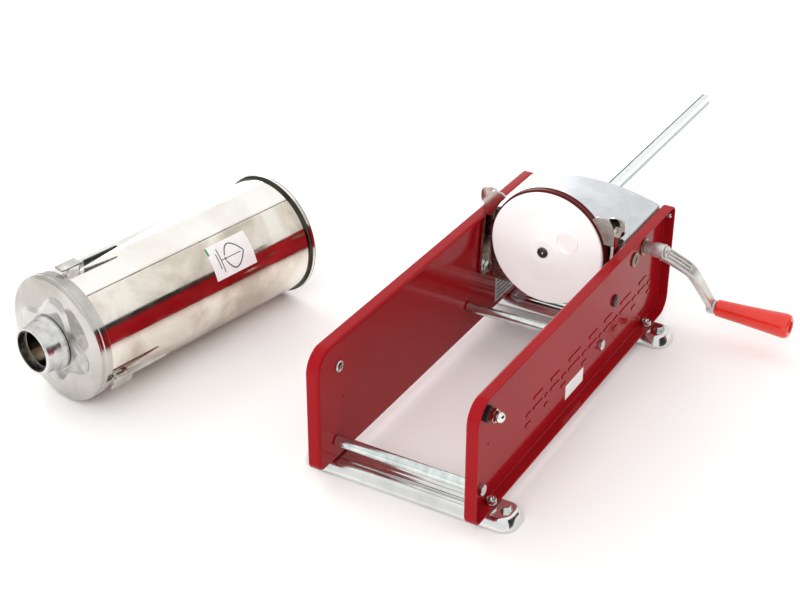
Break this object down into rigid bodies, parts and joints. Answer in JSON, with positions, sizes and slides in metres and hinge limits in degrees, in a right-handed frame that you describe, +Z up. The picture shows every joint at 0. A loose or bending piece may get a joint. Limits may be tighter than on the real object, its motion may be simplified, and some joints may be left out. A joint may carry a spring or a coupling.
{
  "type": "sausage stuffer",
  "caption": "Horizontal hand-cranked sausage stuffer: red side plates on foot channels, rack-driven piston, geared crank, locking levers, and a steel filling cylinder lifted off beside it.",
  "frame": {"origin": "on the table plane, midway between the side plates, at the middle of the front return lip of the front foot channel", "axes": "+X towards the crank side, +Y from the open front to the gearbox along the rack, +Z up"},
  "size_m": [0.7303, 0.8786, 0.204],
  "materials": {
    "red_paint": "gloss",
    "polished_steel": "polished",
    "zinc_steel": "zinc plated",
    "plain_steel": "satin",
    "dark_steel": "blackened",
    "chrome": "mirror",
    "grey_sheet": "satin",
    "white_plastic": "satin",
    "black_plastic": "matte",
    "seal_rubber": "satin",
    "bronze": "sintered",
    "grip_plastic": "gloss"
  },
  "bodies": {
    "frame": {"bearing_plate_inner": "plain_steel", "crank_bush": "bronze", "foot_bolt_front_left": "plain_steel", "foot_bolt_front_right": "plain_steel", "foot_bolt_rear_left": "plain_steel", "foot_bolt_rear_right": "plain_steel", "foot_channel_front": "polished_steel", "foot_channel_rear": "polished_steel", "foot_nut_front_left": "zinc_steel", "foot_nut_front_right": "zinc_steel", "foot_nut_rear_left": "zinc_steel", "foot_nut_rear_right": "zinc_steel", "gearbox_cover": "grey_sheet", "gearbox_wall_front": "plain_steel", "gearbox_wall_rear": "plain_steel", "idler_bush_left": "bronze", "idler_bush_right": "bronze", "lever_nut_left": "zinc_steel", "lever_nut_right": "zinc_steel", "lever_pivot_left": "dark_steel", "lever_pivot_right": "dark_steel", "pivot_dome_nut_left": "chrome", "pivot_dome_nut_right": "chrome", "pivot_nut_left": "zinc_steel", "pivot_nut_right": "zinc_steel", "pivot_screw_left": "zinc_steel", "pivot_screw_right": "zinc_steel", "pivot_spacer_left": "black_plastic", "pivot_spacer_right": "black_plastic", "rack_guide": "white_plastic", "side_plate_left": "red_paint", "side_plate_right": "red_paint", "tie_bolt_front_left": "zinc_steel", "tie_bolt_front_right": "zinc_steel", "tie_bolt_rear_left": "zinc_steel", "tie_bolt_rear_right": "zinc_steel", "tie_rod_front": "zinc_steel", "tie_rod_rear": "zinc_steel"},
    "crank": {"crank_shaft": "chrome", "crank_pinion": "plain_steel", "crank_arm": "chrome", "crank_nut": "chrome", "grip_pin": "zinc_steel"},
    "grip": {"grip": "grip_plastic"},
    "idler": {"idler_shaft": "plain_steel", "idler_wheel": "plain_steel", "rack_pinion": "plain_steel"},
    "piston": {"rack": "zinc_steel", "piston_disc": "white_plastic", "piston_seal": "seal_rubber", "piston_back_plate": "plain_steel", "piston_screw": "dark_steel"},
    "air_valve": {"air_valve": "white_plastic"},
    "lever_left": {"lever_left": "plain_steel"},
    "lever_right": {"lever_right": "plain_steel"},
    "cylinder": {"cylinder_tube": "polished_steel", "cylinder_cap": "polished_steel", "hook_bracket_left": "polished_steel", "hook_bracket_right": "polished_steel"},
    "nozzle_nut": {"nozzle_nut": "polished_steel"}
  },
  "joints": [
    {"name": "crank_turn", "type": "hinge", "parent": "frame", "child": "crank", "pos_m": [0.09, 0.39795, 0.1228], "axis": [-1, 0, 0], "range_deg": [0, 3816]},
    {"name": "grip_spin", "type": "hinge", "parent": "crank", "child": "grip", "pos_m": [0.195, 0.45041, 0.03884], "axis": [1, 0, 0], "continuous": true},
    {"name": "idler_turn", "type": "hinge", "parent": "frame", "child": "idler", "pos_m": [0, 0.37129, 0.1185], "axis": [1, 0, 0], "range_deg": [0, 1910]},
    {"name": "piston_slide", "type": "slide", "parent": "frame", "child": "piston", "axis": [0, -1, 0], "range_m": [0, 0.3]},
    {"name": "air_valve_slide", "type": "slide", "parent": "piston", "child": "air_valve", "axis": [0, -1, 0], "range_m": [0, 0.003], "stiffness_N_per_m": 200},
    {"name": "lever_left_swing", "type": "hinge", "parent": "frame", "child": "lever_left", "pos_m": [-0.0775, 0.32095, 0.091], "axis": [-1, 0, 0], "range_deg": [-12, 12]},
    {"name": "lever_right_swing", "type": "hinge", "parent": "frame", "child": "lever_right", "pos_m": [0.0775, 0.32095, 0.091], "axis": [-1, 0, 0], "range_deg": [-12, 12]},
    {"name": "cylinder_lift", "type": "slide", "parent": "frame", "child": "cylinder", "axis": [0, 0, 1], "range_m": [0, 0.25]},
    {"name": "nozzle_nut_turn", "type": "hinge", "parent": "cylinder", "child": "nozzle_nut", "pos_m": [-0.41448, -0.04337, 0.0742], "axis": [-0.1867, -0.9824, 0], "range_deg": [0, 1080]}
  ],
  "couplings": [
    {"joint": "idler_turn", "follows": "crank_turn", "ratio": 0.5},
    {"joint": "piston_slide", "follows": "crank_turn", "m_per_rad": 0.0045}
  ]
}
